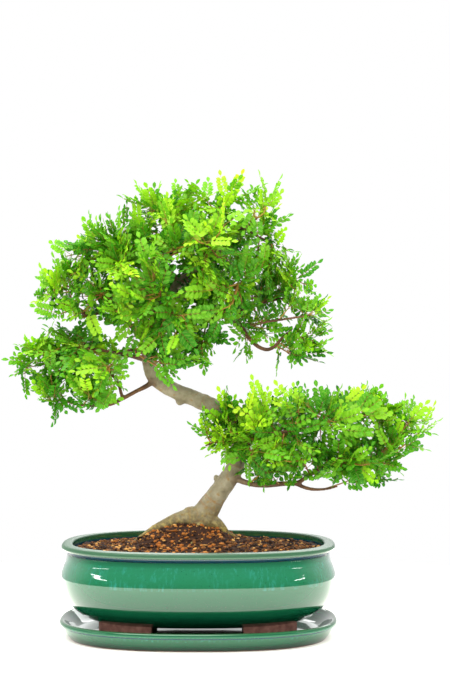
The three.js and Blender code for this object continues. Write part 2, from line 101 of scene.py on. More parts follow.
def copperGlaze(name, bottom, top, groove, shine, roughness=0.05):
    # Stoneware under a copper-green gloss glaze, dipped and fired: glassy, thin and paler where it
    # runs off edges, pooled blue in hollows, with fine dark specks and short vertical runs; towards the
    # bottom its colour is darkened to nearly black as painted shade where the wall turns under.
    material, tree, surface, output = newMaterial(
        name, {"IOR": 1.5, "Roughness": roughness, "Coat Weight": shine, "Coat Roughness": 0.02})
    place = addNode(tree, "TexCoord").outputs["Object"]
    height = addNode(tree, "SeparateXYZ", links={"Vector": place}).outputs["Z"]
    level = addNode(tree, "MapRange", {"From Min": bottom, "From Max": top}, {"Value": height})
    # colour by height: deep copper green, olive on the thin rim, and painted shade darkening to nearly black
    # at the bottom
    glazeAndLowShade = addNode(tree, "ValToRGB", {"stops": [
        (0.0, "#021a0e"), (0.18, "#043320"), (0.36, "#0c472d"), (0.6, "#0f5033"), (0.8, "#165a3d"),
        (0.86, "#0c4a30"), (1.0, "#23482a")]}, {"Fac": level})
    runs = addNode(tree, "Mapping", {"Scale": (1, 1, 0.22)}, {"Vector": place})
    streaks = addNode(tree, "TexNoise", {"Scale": 1 / (glazeGrain["streak"] * mm), "Detail": 4,
                                        "Roughness": 0.6}, {"Vector": runs})
    streaked = addNode(tree, "MapRange", {"From Min": 0.5, "From Max": 0.72}, {"Value": streaks})
    paler = addNode(tree, "Mix", {"data_type": "RGBA", 7: fromHex("#26736a")}, {0: streaked, 6: glazeAndLowShade})
    clouds = addNode(tree, "TexNoise", {"Scale": 1 / (glazeGrain["cloud"] * mm), "Detail": 3},
                     {"Vector": place})
    clouded = addNode(tree, "MapRange", {"From Min": 0.35, "From Max": 0.75}, {"Value": clouds})
    zone = addNode(tree, "Math", {"operation": "COMPARE", 1: bottom + (top - bottom) * 0.68,
                                  2: (top - bottom) * 0.14}, {0: height})
    patchy = addNode(tree, "Math", {"operation": "MULTIPLY"}, {0: clouded, 1: zone})
    body = addNode(tree, "Mix", {"data_type": "RGBA"}, {0: patchy, 6: glazeAndLowShade, 7: paler.outputs[2]})
    iron = addNode(tree, "TexNoise", {"Scale": 1 / (glazeGrain["speck"] * mm)},
                   {"Vector": place})
    specks = addNode(tree, "MapRange", {"From Min": 0.66, "From Max": 0.78}, {"Value": iron})
    body = addNode(tree, "Mix", {"data_type": "RGBA", 7: fromHex("#04211a")},
                   {0: specks, 6: body.outputs[2]})
    pool = addNode(tree, "Math", {"operation": "COMPARE", 1: groove[0], 2: groove[1]}, {0: height})
    body = addNode(tree, "Mix", {"data_type": "RGBA", 7: fromHex("#063440")}, {0: pool, 6: body.outputs[2]})
    tree.links.new(body.outputs[2], surface.inputs["Base Color"])
    swells = addNode(tree, "TexNoise", {"Scale": 1 / (glazeGrain["ripple"] * mm)},
                     {"Vector": place})
    ripple = addNode(tree, "Bump", {"Strength": 0.05, "Distance": glazeGrain["rippleDepth"] * mm},
                     {"Height": swells})
    tree.links.new(ripple.outputs["Normal"], surface.inputs["Normal"])
    return material


clayGrain = {"flush": 7, "sand": 0.8, "sandDepth": 0.3}      # mm


def unglazedStoneware():
    # Bare fired clay where the kiln shelf was: dry, pinkish brown, sandy.
    material, tree, surface, output = newMaterial("unglazedStoneware", {"IOR": 1.5, "Roughness": 0.82})
    place = addNode(tree, "TexCoord").outputs["Object"]
    flush = addNode(tree, "TexNoise", {"Scale": 1 / (clayGrain["flush"] * mm), "Detail": 4},
                    {"Vector": place})
    clay = addNode(tree, "ValToRGB", {"stops": [(0.3, "#59352a"), (0.55, "#754c40"), (0.8, "#8a6154")]},
                   {"Fac": flush})
    tree.links.new(clay.outputs["Color"], surface.inputs["Base Color"])
    grit = addNode(tree, "TexNoise", {"Scale": 1 / (clayGrain["sand"] * mm)},
                   {"Vector": place})
    sand = addNode(tree, "Bump", {"Strength": 0.4, "Distance": clayGrain["sandDepth"] * mm}, {"Height": grit})
    tree.links.new(sand.outputs["Normal"], surface.inputs["Normal"])
    return material


# mm: patches of skin, scars, rings across the limb, algae, the grain's bump; how high the algae reach
# over the soil, and the limb radius where the skin turns brown
barkGrain = {"patch": 11, "scar": 5, "ring": 5, "algae": 4, "grain": 2, "grainDepth": 0.5, "algaeTop": 52,
             "algaeFull": 24, "palest": 4.4, "brownest": 2.6}


def pepperBark():
    # Smooth grown bark: matt beige grey in long patches, with tan scars, rings across the limb at old
    # leaf joints, green algae low down and browner skin on thin wood.
    material, tree, surface, output = newMaterial("pepperBark", {"IOR": 1.45, "Roughness": 0.78})
    place = addNode(tree, "TexCoord").outputs["Object"]
    height = addNode(tree, "SeparateXYZ", links={"Vector": place}).outputs["Z"]
    along = addNode(tree, "Attribute", {"attribute_name": "along"}).outputs["Fac"]
    girth = addNode(tree, "Attribute", {"attribute_name": "girth"}).outputs["Fac"]
    patches = addNode(tree, "TexNoise", {"Scale": 1 / (barkGrain["patch"] * mm), "Detail": 4,
                                         "Roughness": 0.6}, {"Vector": place})
    skin = addNode(tree, "ValToRGB", {"stops": [(0.3, "#5f5640"), (0.45, "#726a51"), (0.6, "#807860"),
                                                (0.8, "#938c74")]}, {"Fac": patches})
    healed = addNode(tree, "TexNoise", {"Scale": 1 / (barkGrain["scar"] * mm)},
                     {"Vector": place})
    scars = addNode(tree, "MapRange", {"From Min": 0.6, "From Max": 0.72}, {"Value": healed})
    skin = addNode(tree, "Mix", {"data_type": "RGBA", 7: fromHex("#7b6238")}, {0: scars, 6: skin})
    joints = addNode(tree, "TexNoise", {"noise_dimensions": "1D", "Scale": 1 / (barkGrain["ring"] * mm),
                                        "Detail": 2}, {"W": along})
    rings = addNode(tree, "MapRange", {"From Min": 0.62, "From Max": 0.8}, {"Value": joints})
    ringMask = addNode(tree, "Math", {"operation": "MULTIPLY", 1: 0.45}, {0: rings})
    skin = addNode(tree, "Mix", {"data_type": "RGBA", 7: fromHex("#7a4f22")},
                   {0: ringMask, 6: skin.outputs[2]})
    thin = addNode(tree, "MapRange", {"From Min": barkGrain["palest"] * mm,
                                      "From Max": barkGrain["brownest"] * mm}, {"Value": girth})
    brown = addNode(tree, "ValToRGB", {"stops": [(0.3, "#3b2412"), (0.55, "#56391c"), (0.8, "#6d4d2a")]},
                    {"Fac": patches})
    skin = addNode(tree, "Mix", {"data_type": "RGBA"}, {0: thin, 6: skin.outputs[2], 7: brown})
    low = addNode(tree, "MapRange", {"From Min": soilLine + barkGrain["algaeTop"] * mm,
                                     "From Max": soilLine + barkGrain["algaeFull"] * mm}, {"Value": height})
    growth = addNode(tree, "TexNoise", {"Scale": 1 / (barkGrain["algae"] * mm), "Detail": 4,
                                        "Roughness": 0.6}, {"Vector": place})
    algae = addNode(tree, "ValToRGB", {"stops": [(0.3, "#33280b"), (0.5, "#5f4f1a"), (0.66, "#8a7a38"),
                                                 (0.8, "#7a4818")]}, {"Fac": growth})
    lowMask = addNode(tree, "Math", {"operation": "MULTIPLY", 1: 0.85}, {0: low})
    skin = addNode(tree, "Mix", {"data_type": "RGBA"}, {0: lowMask, 6: skin.outputs[2], 7: algae})
    tree.links.new(skin.outputs[2], surface.inputs["Base Color"])
    drawn = addNode(tree, "Mapping", {"Scale": (1, 1, 0.5)}, {"Vector": place})
    grain = addNode(tree, "TexNoise", {"Scale": 1 / (barkGrain["grain"] * mm), "Detail": 5,
                                       "Roughness": 0.65}, {"Vector": drawn})
    bump = addNode(tree, "Bump", {"Strength": 0.5, "Distance": barkGrain["grainDepth"] * mm},
                   {"Height": grain})
    tree.links.new(bump.outputs["Normal"], surface.inputs["Normal"])
    return material


def leafBlade():
    # Living pepper leaves: a waxy satin blade that lets light through, bright yellow green when young
    # and deep green when old, with a paler rib along the fold; their tone also holds painted light,
    # lighter high on a pad and darker low inside it.
    material, tree, surface, output = newMaterial(
        "leafBlade", {"IOR": 1.42, "Roughness": 0.42, "Specular IOR Level": 0.35})
    toneFac = addNode(tree, "Attribute", {"attribute_name": "tone"}).outputs["Fac"]
    green = addNode(tree, "ValToRGB", {"stops": [(0.0, "#20680f"), (0.3, "#449815"), (0.55, "#7abb1c"),
                                                 (0.78, "#aeda22"), (1.0, "#d6ec34")]}, {"Fac": toneFac})
    blade = addNode(tree, "UVMap", {"uv_map": "blade"})
    across = addNode(tree, "SeparateXYZ", links={"Vector": blade}).outputs["Y"]
    offRib = addNode(tree, "Math", {"operation": "SUBTRACT", 1: 0.5}, {0: across})
    fromRib = addNode(tree, "Math", {"operation": "ABSOLUTE"}, {0: offRib})
    rib = addNode(tree, "MapRange", {"From Min": 0.09, "From Max": 0.03}, {"Value": fromRib})
    ribMask = addNode(tree, "Math", {"operation": "MULTIPLY", 1: 0.35}, {0: rib})
    ribbed = addNode(tree, "Mix", {"data_type": "RGBA", 7: fromHex("#a9c052")}, {0: ribMask, 6: green})
    colour = ribbed.outputs[2]
    tree.links.new(colour, surface.inputs["Base Color"])
    through = addNode(tree, "BsdfTranslucent", links={"Color": colour})
    both = addNode(tree, "MixShader", {0: 0.5}, {1: surface, 2: through})
    tree.links.new(both.outputs[0], output.inputs["Surface"])
    return material


def shootSkin():
    # This year's stems and leaf stalks: smooth, yellowish green to reddish tan, faintly shiny.
    material, tree, surface, output = newMaterial("shootSkin", {"IOR": 1.45, "Roughness": 0.5})
    toneFac = addNode(tree, "Attribute", {"attribute_name": "tone"}).outputs["Fac"]
    colour = addNode(tree, "ValToRGB", {"stops": [(0.0, "#4a2c12"), (0.3, "#7a4f1c"), (0.55, "#8f6f22"),
                                                  (1.0, "#93a02c")]}, {"Fac": toneFac})
    tree.links.new(colour.outputs["Color"], surface.inputs["Base Color"])
    return material


mixStops = [(0.12, "#150a04"), (0.3, "#321a0a"), (0.45, "#4e2d10"), (0.6, "#663f15"), (0.8, "#8c4e12"),
            (1.0, "#b08445")]
mixGrain = {"cloudWeight": 0.35, "crumb": 1, "crumbDepth": 0.6}      # crumb sizes in mm


def pottingMix(name, cloud):
    # Composted bark, coir and baked clay grains: dull, damp and mixed in colour, in clouds of this size.
    material, tree, surface, output = newMaterial(name, {"IOR": 1.4, "Roughness": 0.95})
    place = addNode(tree, "TexCoord").outputs["Object"]
    tone = addNode(tree, "Attribute", {"attribute_name": "tone"}).outputs["Fac"]
    clouds = addNode(tree, "TexNoise", {"Scale": 1 / cloud, "Detail": 4, "Roughness": 0.7}, {"Vector": place})
    both = addNode(tree, "Math", {"operation": "MULTIPLY_ADD", 1: mixGrain["cloudWeight"]},
                   {0: clouds, 2: tone})
    colour = addNode(tree, "ValToRGB", {"stops": mixStops}, {"Fac": both})
    tree.links.new(colour.outputs["Color"], surface.inputs["Base Color"])
    crumbs = addNode(tree, "TexNoise", {"Scale": 1 / (mixGrain["crumb"] * mm), "Detail": 3},
                     {"Vector": place})
    bump = addNode(tree, "Bump", {"Strength": 0.7, "Distance": mixGrain["crumbDepth"] * mm},
                   {"Height": crumbs})
    tree.links.new(bump.outputs["Normal"], surface.inputs["Normal"])
    return material


def plainFinish(name, bright, dull, roughness, metallic=0.0):
    # Extruded polyethylene mesh or drawn aluminium wire: one colour with a fine drawn texture, 0.6 mm.
    material, tree, surface, output = newMaterial(name, {"Roughness": roughness, "Metallic": metallic})
    place = addNode(tree, "TexCoord").outputs["Object"]
    drawn = addNode(tree, "TexNoise", {"Scale": 1 / (0.6 * mm)}, {"Vector": place})
    shade = addNode(tree, "MapRange", {"From Min": 0.3, "From Max": 0.7}, {"Value": drawn})
    colour = addNode(tree, "Mix", {"data_type": "RGBA", 6: fromHex(bright), 7: fromHex(dull)}, {0: shade})
    tree.links.new(colour.outputs[2], surface.inputs["Base Color"])
    return material


def finishPiece(name, bm, materials, stands=(), smooth=True):
    mesh = bpy.data.meshes.new(name)
    bm.to_mesh(mesh)
    bm.free()
    return finishMesh(name, mesh, materials, stands, smooth)


def finishMesh(name, mesh, materials, stands=(), smooth=True):
    for material in materials:
        mesh.materials.append(material)
    for polygon in mesh.polygons:
        polygon.use_smooth = smooth
    piece = bpy.data.objects.new(name, mesh)
    bpy.context.scene.collection.objects.link(piece)
    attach(piece, "root")
    if stands:
        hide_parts(*stands)
    return piece


def curveThrough(points, perSpan):
    # a smooth line through points of any length, by Catmull-Rom
    line = []
    for i in range(len(points) - 1):
        before = points[max(i - 1, 0)]
        start, end = points[i], points[i + 1]
        after = points[min(i + 2, len(points) - 1)]
        for step in range(perSpan):
            t = step / perSpan
            line.append(tuple(0.5 * (2 * b + (c - a) * t + (2 * a - 5 * b + 4 * c - d) * t * t
                                     + (3 * b - a - 3 * c + d) * t ** 3)
                              for a, b, c, d in zip(before, start, end, after)))
    line.append(tuple(points[-1]))
    return line


def roundCorners(points, perCorner=5):
    # (across, up, corner size) points; each corner with a size becomes an arc
    line = []
    for i, (across, up, size) in enumerate(points):
        here = Vector((across, up))
        if size <= 0 or i in (0, len(points) - 1):
            line.append(tuple(here))
            continue
        back = Vector(points[i - 1][:2]) - here
        ahead = Vector(points[i + 1][:2]) - here
        start = here + back.normalized() * min(size, back.length * 0.5)
        end = here + ahead.normalized() * min(size, ahead.length * 0.5)
        arc = interpolate_bezier(start, start.lerp(here, 0.6), end.lerp(here, 0.6), end, perCorner)
        line += [tuple(p) for p in arc]
    return line


def depthOf(halfWidth):
    # half-depth of the ring with this half-width, so that walls keep their thickness all round
    inner = potHigh[0] * 0.6
    return halfWidth - ovalWaist if halfWidth > inner else halfWidth * (inner - ovalWaist) / inner


def drawOval(bm):
    # draw the round rings of a turned shape out to full-cornered ovals
    for v in bm.verts:
        away = math.hypot(v.co.x, v.co.y)
        if away > 1e-7:
            c, s = v.co.x / away, v.co.y / away
            v.co.x = away * math.copysign(abs(c) ** (2 / ovalSquareness), c)
            v.co.y = depthOf(away) * math.copysign(abs(s) ** (2 / ovalSquareness), s)
    bmesh.ops.recalc_face_normals(bm, faces=bm.faces)


def ovalTurned(outline, steps):
    # (half-width, height) outline spun into an oval; it starts and ends on the axis
    bm = bmesh.new()
    points = [bm.verts.new((max(across, 0), 0, up)) for across, up in outline]
    edges = [bm.edges.new(pair) for pair in zip(points, points[1:])]
    bmesh.ops.spin(bm, geom=points + edges, cent=(0, 0, 0), axis=(0, 0, 1), angle=2 * math.pi, steps=steps,
                   use_merge=True)
    bmesh.ops.remove_doubles(bm, verts=bm.verts, dist=1e-6)
    drawOval(bm)
    return bm


def growTube(bm, stations, sides, materialIndex=0):
    # a closed tapering tube through (place, radius) stations
    rings = []
    for i, (place, radius) in enumerate(stations):
        ahead = stations[min(i + 1, len(stations) - 1)][0] - stations[max(i - 1, 0)][0]
        turn = upward.rotation_difference(ahead.normalized()).to_matrix().to_4x4()
        circle = bmesh.ops.create_circle(bm, cap_ends=False, radius=radius, segments=sides,
                                         matrix=Matrix.Translation(place) @ turn)
        rings.append(circle["verts"])
    faces = []
    for low, high in zip(rings, rings[1:]):
        # start the next ring at the vertex nearest to this ring's first, so that nothing twists
        shift = min(range(sides), key=lambda k: (high[k].co - low[0].co).length_squared)
        high[:] = high[shift:] + high[:shift]
        for k in range(sides):
            faces.append(bm.faces.new((low[k], low[(k + 1) % sides], high[(k + 1) % sides], high[k])))
    faces.append(bm.faces.new(rings[0][::-1]))
    faces.append(bm.faces.new(rings[-1]))
    for face in faces:
        face.material_index = materialIndex
        face.smooth = True
    return [v for ring in rings for v in ring]


tray = {"lipFace": 4.6, "grooveDepth": 2.6, "wall": 6, "flare": 11, "floor": 5.5, "baseFoot": 1.2,
        "steps": 192}
pot = {"footHeight": 12.7, "footTop": 117, "footTaper": 3, "footThickness": 19, "footLength": 58,
       "footSpacing": 154, "footEndGap": 52, "footEdge": 1.2, "lipInset": 1.3, "lipFace": 4.9, "lipRise": 1.4,
       "lipShelf": 11.7, "grooveHeight": 4.2, "grooveDepth": 7.5, "floor": 8, "rimBand": 4.4, "bareInset": 38,
       "drainRadius": 9, "drainSpacing": 124, "steps": 208}


def makeTray(glaze, clay):
    lip = trayHigh[0] / mm
    top = trayHigh[2] / mm
    base = lip - tray["flare"]
    faceLow = top - tray["lipFace"] - 1
    outline = roundCorners([
        (0, 0, 0), (base - 1.5, 0, 0.8), (base, tray["baseFoot"], 0.8), (lip - 3.2, faceLow - 1.6, 2),
        (lip - tray["grooveDepth"], faceLow - 0.6, 0.5), (lip - tray["grooveDepth"], faceLow + 0.3, 0.4),
        (lip - 0.4, faceLow + 0.7, 0.8), (lip, faceLow + 2.8, 1.4), (lip - 1, top - 0.9, 1),
        (lip - 3, top, 1.2),
        (lip - tray["wall"] + 0.6, top - 0.8, 1.4), (base - tray["wall"] + 0.5, tray["floor"] + 2, 3.5),
        (base - tray["wall"] - 5, tray["floor"], 3), (0, tray["floor"], 0)])
    bm = ovalTurned([(a * mm, u * mm) for a, u in outline], tray["steps"])
    for face in bm.faces:
        if face.calc_center_median().z < tray["baseFoot"] * 0.7 * mm:
            face.material_index = 1     # the foot ring was wiped bare before firing
    return finishPiece("dripTray", bm, [glaze, clay], ["drip_tray"])


def potOutline():
    belly = potHigh[0] / mm
    under = potLow[2] / mm + pot["footHeight"]
    mouthTop = potHigh[2] / mm
    lip = belly - pot["lipInset"]
    lipTop = mouthTop - pot["lipRise"]
    lipLow = lipTop - pot["lipFace"]
    neck = lip - pot["grooveDepth"]
    grooveLow = lipLow - pot["grooveHeight"]
    mouth = lip - pot["lipShelf"]
    wall = curveThrough([(belly - 44, under), (belly - 34, under + 2.2), (belly - 22, under + 8.5),
                         (belly - 11, under + 18), (belly - 3.6, under + 31), (belly, under + 47.5),
                         (belly - 2.6, under + 58.5), (belly - 5.8, under + 66),
                         (neck + 1.8, grooveLow - 0.6)], 6)
    upper = roundCorners([
        (neck + 1.8, grooveLow - 0.6, 0), (neck + 1.2, grooveLow + 0.2, 0.5), (neck, grooveLow + 0.7, 0.5),
        (neck, lipLow - 0.3, 0.7), (lip - 1, lipLow, 0.6), (lip, lipLow + 1, 1), (lip, lipTop - 0.8, 1.4),
        (lip - 1.6, lipTop + 0.5, 1.2), (lip - 6, mouthTop - 0.3, 2.5), (mouth + 1.6, mouthTop, 1.2),
        (mouth, mouthTop - 1.2, 0.9), (mouth, under + 70, 0)])
    inside = curveThrough([(mouth, under + 60), (belly - 11, under + 47.5), (belly - 13, under + 33),
                           (belly - 20, under + 21), (belly - 30, under + 12),
                           (belly - 44, under + pot["floor"])], 4)
    return [(0, under)] + wall + upper[1:] + inside + [(0, under + pot["floor"])], under


def makePot(glaze, clay, rimGlaze):
    outline, under = potOutline()
    bm = ovalTurned([(a * mm, u * mm) for a, u in outline], pot["steps"])
    bareEdge = (potHigh[0] / mm - pot["bareInset"]) * mm
    for face in bm.faces:
        middle = face.calc_center_median()
        if middle.z < (under + 1.4) * mm and abs(middle.x) < bareEdge:
            face.material_index = 1     # the underside is left bare
        elif middle.z > potHigh[2] - pot["rimBand"] * mm:
            face.material_index = 2     # the glaze ran off the rim as it melted
    shell = finishPiece("pot", bm, [glaze, clay, rimGlaze], ["pot"])
    for side in (-1, 1):      # drain holes
        drill = bmesh.new()
        hole = Matrix.Translation((side * pot["drainSpacing"] / 2 * mm, 0, (under + 4) * mm))
        bmesh.ops.create_cone(drill, cap_ends=True, segments=32, radius1=pot["drainRadius"] * mm,
                              radius2=pot["drainRadius"] * mm, depth=30 * mm, matrix=hole)
        cutter = bpy.data.objects.new("drill", bpy.data.meshes.new("drill"))
        drill.to_mesh(cutter.data)
        drill.free()
        cut = shell.modifiers.new("drain", "BOOLEAN")
        cut.operation = "DIFFERENCE"
        cut.object = cutter
        bpy.context.scene.collection.objects.link(cutter)
        applyModifiers(shell)
        bpy.data.objects.remove(cutter)
    return shell, under


def applyModifiers(piece):
    depsgraph = bpy.context.evaluated_depsgraph_get()
    depsgraph.update()
    result = bpy.data.meshes.new_from_object(piece.evaluated_get(depsgraph))
    piece.modifiers.clear()
    old = piece.data
    piece.data = result
    bpy.data.meshes.remove(old)


def makeFeet(clay, under):
    # four bare clay feet that follow the oval, each the same ring cut square at its ends
    low = potLow[2] / mm
    outer, taper, thick = pot["footTop"], pot["footTaper"], pot["footThickness"]
    outline = roundCorners([
        (outer - thick + taper, low, 0), (outer - taper - 1, low, 1), (outer - taper, low + 1, 1),
        (outer, under + 3, 0), (outer - thick, under + 3, 0), (outer - thick + taper, low, 0)], 3)
    for side in (-1, 1):
        for front in (-1, 1):
            bm = bmesh.new()
            points = [bm.verts.new((a * mm, 0, u * mm)) for a, u in outline[:-1]]
            edges = [bm.edges.new((points[i], points[(i + 1) % len(points)])) for i in range(len(points))]
            bmesh.ops.spin(bm, geom=points + edges, cent=(0, 0, 0), axis=(0, 0, 1), angle=2 * math.pi,
                           steps=160, use_merge=True)
            bmesh.ops.remove_doubles(bm, verts=bm.verts, dist=1e-6)
            drawOval(bm)
            middle = side * pot["footSpacing"] / 2
            half = pot["footLength"] / 2
            cuts = [(middle - half, 0, -1, 0), (middle + half, 0, 1, 0),
                    (0, front * pot["footEndGap"] / 2, 0, -front)]
            for x, y, nx, ny in cuts:
                result = bmesh.ops.bisect_plane(
                    bm, geom=bm.verts[:] + bm.edges[:] + bm.faces[:], clear_outer=True,
                    plane_co=(x * mm, y * mm, 0), plane_no=(nx, ny, 0))
                loose = [e for e in result["geom_cut"] if isinstance(e, bmesh.types.BMEdge)]
                bmesh.ops.holes_fill(bm, edges=loose, sides=0)
            sharp = [e for e in bm.edges if e.is_manifold and e.calc_face_angle() > 0.9]
            bmesh.ops.bevel(bm, geom=sharp, offset=pot["footEdge"] * mm, offset_type="OFFSET", affect="EDGES",
                            segments=2, profile=0.5, material=-1)
            bmesh.ops.recalc_face_normals(bm, faces=bm.faces)
            name = f"potFoot_{'front' if front < 0 else 'back'}_{'left' if side < 0 else 'right'}"
            finishPiece(name, bm, [clay])


# heaps are (x, y, reach, height) in mm; clayAt is where baked clay grains wash out under the roots
soil = {"mound": 19, "moundRadius": 66, "clearance": 0.6, "grains": 5200, "chips": 320, "steps": 140,
        "rings": 44, "clayAt": (-18, -42), "clayReach": 46,
        "grainSizes": (0.5, 0.7, 0.9, 1.2, 1.6, 2.3),
        "tones": (0.0, 0.05, 0.1, 0.16, 0.22, 0.3, 0.36, 0.44, 0.56, 0.8),
        "heaps": [(-28, -19, 19, 12), (-54, -16, 15, 7), (2, -22, 15, 10), (22, -15, 10, 5)]}


def soilTop(x, y):
    # height of the soil's surface at a place in the pot, in metres
    away = math.hypot(x, y * 1.3) / (soil["moundRadius"] * mm)
    lumps = noise.noise(Vector((x, y, 0)) / (13 * mm)) * 2.2 + noise.noise(Vector((x, y, 3)) / (5 * mm)) * 1.5
    heap = sum(height * math.exp(-((x / mm - a) ** 2 + (y / mm - b) ** 2) / reach ** 2)
               for a, b, reach, height in soil["heaps"])
    return soilLine + (soil["mound"] * math.exp(-away * away) + heap + lumps) * mm


def makeSoil(mix):
    wall = soilHigh[0] / mm - soil["clearance"]
    low = soilLow[2] / mm
    belly = potHigh[0] / mm
    outline = [(0, low), (belly - 46, low), (belly - 31, low + 5), (belly - 21, low + 15),
               (belly - 14, low + 26),
               (wall, low + 40), (wall, soilLine / mm - 3)]
    outline += [(wall * (1 - i / soil["rings"]) ** 0.8, soilLine / mm) for i in range(soil["rings"] + 1)]
    bm = ovalTurned([(a * mm, u * mm) for a, u in outline], soil["steps"])
    tone = bm.verts.layers.float.new("tone")
    for v in bm.verts:
        if v.co.z > soilLine - 0.5 * mm:
            v.co.z = soilTop(v.co.x, v.co.y)
        v[tone] = 0.1
    return finishPiece("soil", bm, [mix], ["soil"])


def makeGrains(mix):
    # loose grains and flat bark chips lying in the surface
    rng = random.Random(41)
    bm = bmesh.new()
    tone = bm.verts.layers.float.new("tone")
    reachX = soilHigh[0] - 5 * mm
    for i in range(soil["grains"] + soil["chips"]):
        chip = i >= soil["grains"]
        away = math.sqrt(rng.random())
        turn = rng.random() * 2 * math.pi
        x = away * math.cos(turn) * reachX
        y = away * math.sin(turn) * (reachX - ovalWaist)
        if chip:
            size = rng.uniform(1.6, 3.2) * mm
            shape = (rng.uniform(1.2, 2.0), rng.uniform(0.6, 1.0), 0.28)
        else:
            size = rng.choice(soil["grainSizes"]) * rng.uniform(0.8, 1.2) * mm
            shape = (rng.uniform(0.8, 1.4), rng.uniform(0.7, 1.1), rng.uniform(0.5, 0.9))
        place = Matrix.Translation((x, y, soilTop(x, y) + size * (0.15 if chip else 0.3)))
        tilt = Matrix.Rotation(rng.uniform(0, 6.28), 4, "Z") @ Matrix.Rotation(rng.uniform(-0.6, 0.6), 4, "X")
        grain = bmesh.ops.create_icosphere(bm, subdivisions=1, radius=size,
                                           matrix=place @ tilt @ Matrix.Diagonal((*shape, 1)))
        value = rng.choice(soil["tones"])
        clayAway = math.hypot(x - soil["clayAt"][0] * mm, y - soil["clayAt"][1] * mm)
        if not chip and clayAway < soil["clayReach"] * mm and rng.random() < 0.4:
            value = rng.uniform(0.55, 0.72)
        for v in grain["verts"]:
            v[tone] = value
    return finishPiece("soilGrains", bm, [mix], smooth=False)


# Stations are (x, y, height over the soil line, radius) in mm, from the thick end to the thin one.
# twigsFrom is the trunk station above which twigs spring from it.

wood = {"voxel": 1.1, "smoothing": 2, "ridge": 0.35, "twigsFrom": 18}

trunkLine = [
    (0, 0, -20, 11), (0, 0, 4, 14.5), (2, 0, 28, 15.2), (9, 0, 41, 13.2), (19, -2, 56.5, 11.3),
    (30, -3, 72, 10.5), (39, -5, 87, 10), (44, -6, 105, 9.7), (43, -5, 122, 9.6), (36, -3, 140, 9.5),
    (22, 0, 151.7, 9.3), (5, 2, 159.4, 8.9), (-11.5, 3, 166, 8.9), (-24.6, 3, 171.4, 8.9),
    (-39, 2, 179, 8.5), (-49, 1, 188, 8), (-54, 0, 201, 7.5), (-54, -1, 218.5, 7), (-49, -1, 238, 6.5),
    (-42, 0, 258, 6.2), (-33, 2, 280, 6), (-18, 4, 293, 5.5), (2, 5, 306, 5), (18, 4, 319, 4.4),
    (24.6, 2, 337, 3.8), (25.7, 0, 356.5, 2.8), (24.6, -2, 375, 1.6)]

rootLines = [
    [(2, 0, 33, 11), (-18, -4, 33, 8.5), (-40, -7, 24, 6.5), (-58, -9, 14, 4.6), (-76, -10, 1, 3.2),
     (-90, -10, -9, 1.8)],
    [(0, 4, 29, 9), (-25, 22, 19, 6), (-48, 38, 5, 4), (-62, 46, -6, 2.4)],
    [(4, -4, 27, 9), (0, -24, 17, 6.2), (-8, -44, 5, 4), (-12, -58, -5, 2.4)],
    [(8, 0, 33, 9), (21, -4, 26, 6.5), (31, -6, 15, 4.6), (44, -8, 0, 2.8)],
    [(6, 6, 27, 9), (16, 28, 15, 5.5), (24, 48, 1, 3.4), (30, 60, -8, 2)]]

surfaceRoot = [(14, -5, 24, 4), (26, -7, 19, 2.7), (37, -9, 14.5, 2.5), (48, -11, 7.5, 2.4), (59, -12, -3, 2)]

